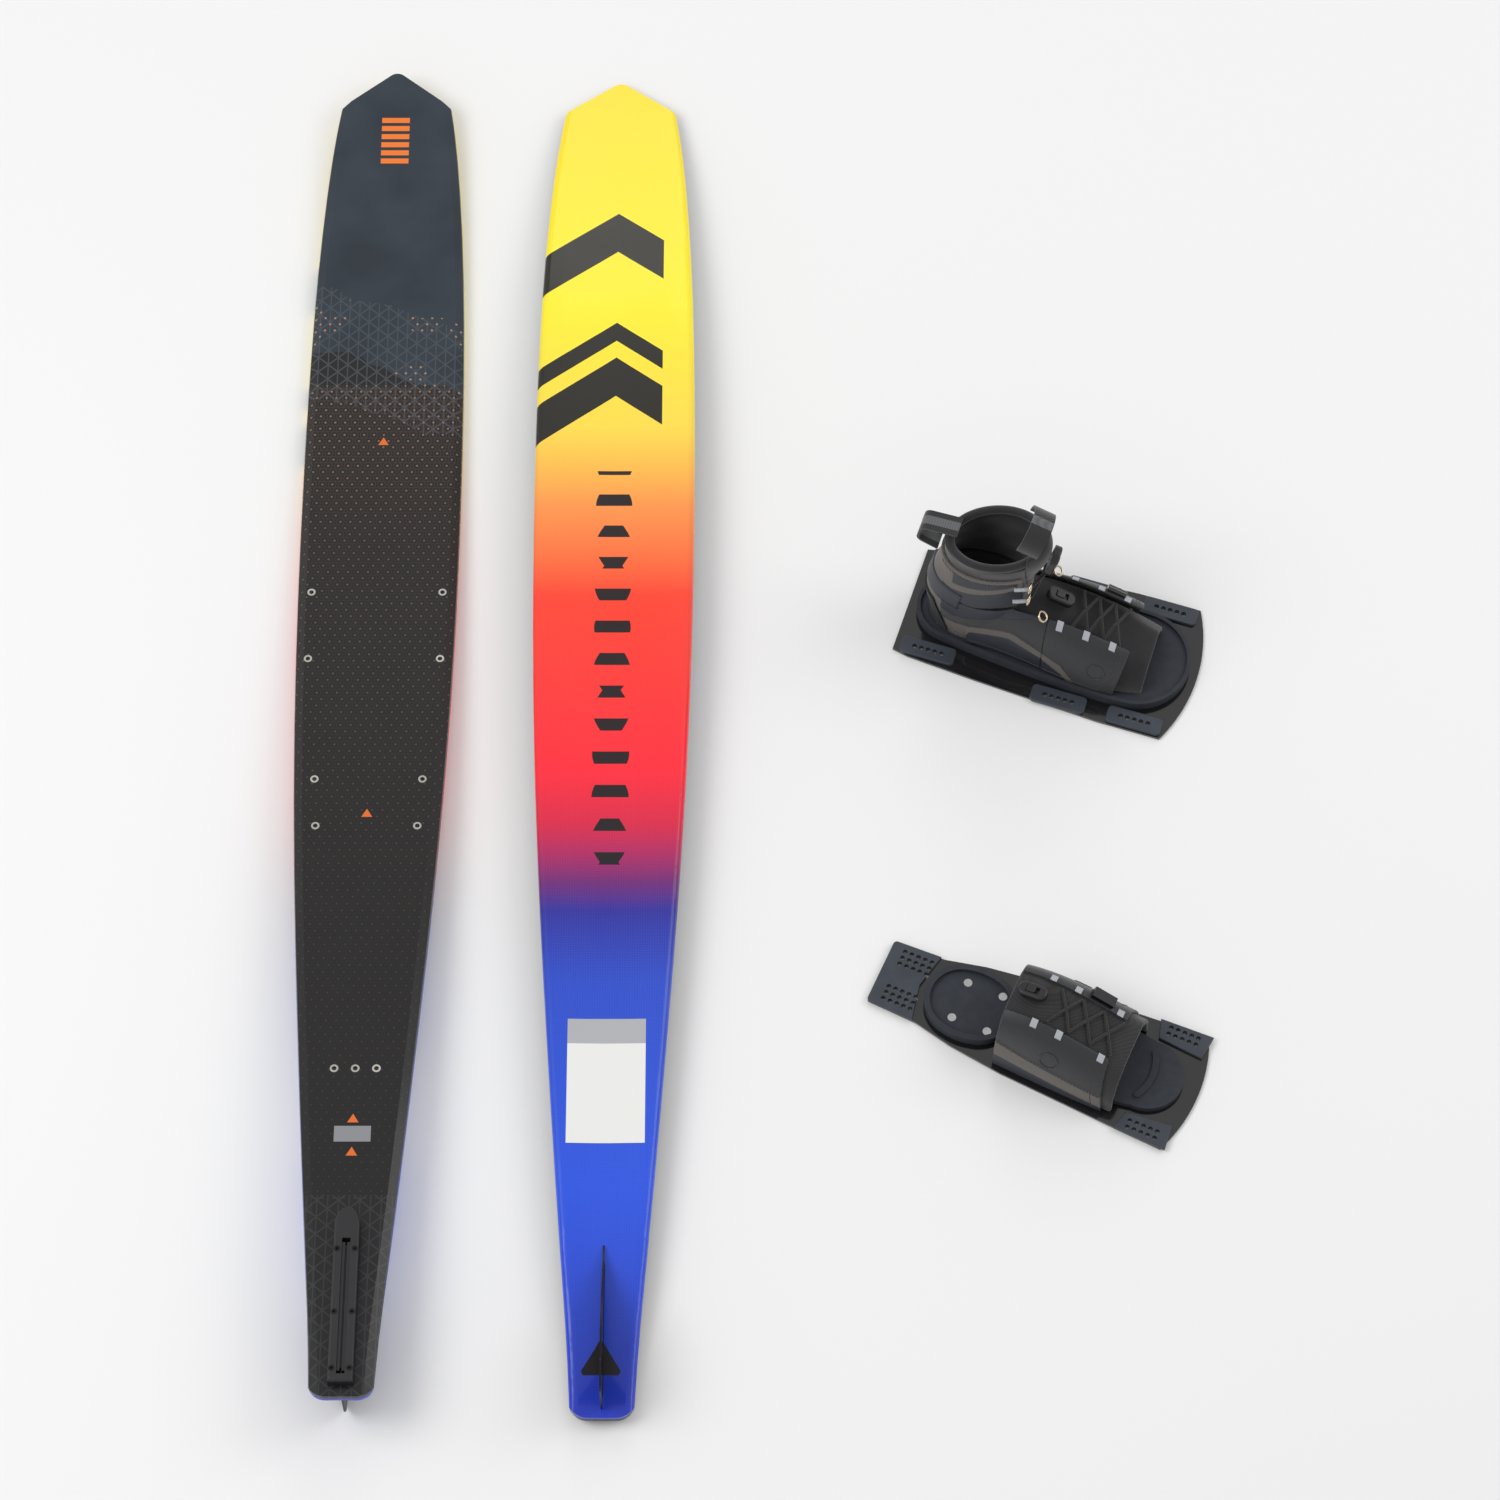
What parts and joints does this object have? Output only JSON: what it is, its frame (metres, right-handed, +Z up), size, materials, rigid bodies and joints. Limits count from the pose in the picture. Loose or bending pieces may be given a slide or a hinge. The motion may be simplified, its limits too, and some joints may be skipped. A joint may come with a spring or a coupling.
{
  "type": "water ski pair",
  "caption": "Slalom water ski pair with adjustable fins, laced front boot and open rear toe binding on bolt-on plates, laid out as a set.",
  "frame": {"origin": "centre of the set's footprint on the floor", "axes": "+Z up, +Y along the skis towards their tips, +X across the set towards the bindings"},
  "size_m": [0.9974, 1.6507, 0.2439],
  "materials": {
    "ski_deck": "clear-coated printed laminate, navy tip over a dark copper lattice",
    "ski_base": "clear-coated carbon weave tinted yellow, orange, red, purple and blue",
    "core_foam": "closed-cell foam",
    "insert_metal": "turned stainless inserts",
    "black_plastic": "moulded",
    "black_screw": "blackened steel",
    "fin_block": "moulded satin black",
    "steel_screw": "stainless",
    "wing_black": "anodised black",
    "fin_metal": "anodised black sheet",
    "moulded_slate": "moulded dark slate",
    "plate_black": "glossy black sheet",
    "eva_foam": "moulded foam with a fine texture",
    "rubber_black": "ribbed rubber",
    "quarter_leather": "coated synthetic leather",
    "overlay_leather": "coated synthetic leather, stitched",
    "cuff_leather": "taupe and navy-black coated panels",
    "ring_metal": "warm nickel",
    "neoprene": "neoprene faced with knit",
    "mesh_neoprene": "neoprene with a mesh face",
    "guide_silver": "silver-grey tape",
    "gloss_black": "moulded gloss black",
    "lock_black": "moulded",
    "lace_black": "round braided cord",
    "webbing": "woven webbing with a grey stripe"
  },
  "bodies": {
    "root": {"boot_ankle_rings": "ring_metal", "boot_footbed": "eva_foam", "boot_heel_rubber": "rubber_black", "boot_lace_guides": "guide_silver", "boot_lace_tube": "gloss_black", "boot_liner": "neoprene", "boot_lower_lace": "lace_black", "boot_lower_lock": "lock_black", "boot_plate": "plate_black", "boot_plate_rails": "moulded_slate", "boot_quarter": "quarter_leather", "boot_sole_screws": "steel_screw", "boot_toe_overlay_left": "overlay_leather", "boot_toe_overlay_right": "overlay_leather", "ski_a_base_laminate": "ski_base", "ski_a_boot_inserts": "insert_metal", "ski_a_deck_laminate": "ski_deck", "ski_a_fin_block": "fin_block", "ski_a_fin_block_screws": "black_screw", "ski_a_fin_clamp_jaws": "black_plastic", "ski_a_foam_core": "core_foam", "ski_a_toe_inserts": "insert_metal", "ski_b_base_laminate": "ski_base", "ski_b_boot_inserts": "insert_metal", "ski_b_deck_laminate": "ski_deck", "ski_b_fin_block": "fin_block", "ski_b_fin_block_screws": "black_screw", "ski_b_fin_clamp_jaws": "black_plastic", "ski_b_foam_core": "core_foam", "ski_b_toe_inserts": "insert_metal", "toe_finger_tab": "fin_metal", "toe_fore_pad": "eva_foam", "toe_heel_pad": "eva_foam", "toe_lace": "lace_black", "toe_lace_guides": "guide_silver", "toe_liner": "mesh_neoprene", "toe_lock": "lock_black", "toe_overlay_left": "overlay_leather", "toe_overlay_right": "overlay_leather", "toe_plate": "plate_black", "toe_plate_front_corners": "moulded_slate", "toe_plate_rear_end": "moulded_slate", "toe_screws": "steel_screw"},
    "ski_a_fin": {"ski_a_fin": "fin_metal"},
    "ski_a_wing": {"ski_a_wing": "wing_black", "ski_a_wing_screws": "steel_screw"},
    "ski_b_fin": {"ski_b_fin": "fin_metal"},
    "ski_b_wing": {"ski_b_wing": "wing_black", "ski_b_wing_screws": "steel_screw"},
    "boot_cuff": {"boot_cuff": "cuff_leather", "boot_collar": "neoprene", "boot_tongue": "neoprene", "boot_cuff_rings": "ring_metal", "boot_upper_lace": "lace_black", "boot_upper_lock": "lock_black"},
    "boot_upper_button": {"boot_upper_lock_button": "gloss_black"},
    "boot_lower_button": {"boot_lower_lock_button": "gloss_black"},
    "toe_button": {"toe_lock_button": "gloss_black"},
    "boot_front_loop": {"boot_front_loop": "webbing"},
    "boot_rear_loop": {"boot_rear_loop": "webbing"}
  },
  "joints": [
    {"name": "ski_a_fin_slide", "type": "slide", "parent": "root", "child": "ski_a_fin", "axis": [0, 0.9983, -0.0588], "range_m": [-0.003, 0.003]},
    {"name": "ski_a_wing_tilt", "type": "hinge", "parent": "ski_a_fin", "child": "ski_a_wing", "pos_m": [-0.41, -0.77759, 0.0246], "axis": [1, 0, 0], "range_deg": [-3, 3]},
    {"name": "ski_b_fin_slide", "type": "slide", "parent": "root", "child": "ski_b_fin", "axis": [0, 0.9998, 0.0221], "range_m": [-0.003, 0.003]},
    {"name": "ski_b_wing_tilt", "type": "hinge", "parent": "ski_b_fin", "child": "ski_b_wing", "pos_m": [-0.15, -0.77626, 0.06424], "axis": [-1, 0, 0], "range_deg": [-3, 3]},
    {"name": "boot_cuff_flex", "type": "hinge", "parent": "root", "child": "boot_cuff", "pos_m": [0.25314, 0.11302, 0.092], "axis": [0.309, 0.9511, 0], "range_deg": [-4, 12], "stiffness_Nm_per_rad": 6},
    {"name": "boot_front_loop_swing", "type": "hinge", "parent": "boot_cuff", "child": "boot_front_loop", "pos_m": [0.29879, 0.09819, 0.203], "axis": [0.309, 0.9511, 0], "range_deg": [-15, 15], "stiffness_Nm_per_rad": 0.08},
    {"name": "boot_rear_loop_swing", "type": "hinge", "parent": "boot_cuff", "child": "boot_rear_loop", "pos_m": [0.20559, 0.12847, 0.148], "axis": [0.309, 0.9511, 0], "range_deg": [-12, 12], "stiffness_Nm_per_rad": 0.08},
    {"name": "boot_upper_lock_release", "type": "slide", "parent": "boot_cuff", "child": "boot_upper_button", "axis": [-0.1865, 0.0606, -0.9806], "range_m": [0, 0.003], "stiffness_N_per_m": 300},
    {"name": "boot_lower_lock_release", "type": "slide", "parent": "root", "child": "boot_lower_button", "axis": [0.9109, -0.296, -0.2873], "range_m": [0, 0.003], "stiffness_N_per_m": 300},
    {"name": "toe_lock_release", "type": "slide", "parent": "root", "child": "toe_button", "axis": [0.909, -0.4047, 0.0995], "range_m": [0, 0.003], "stiffness_N_per_m": 300}
  ]
}
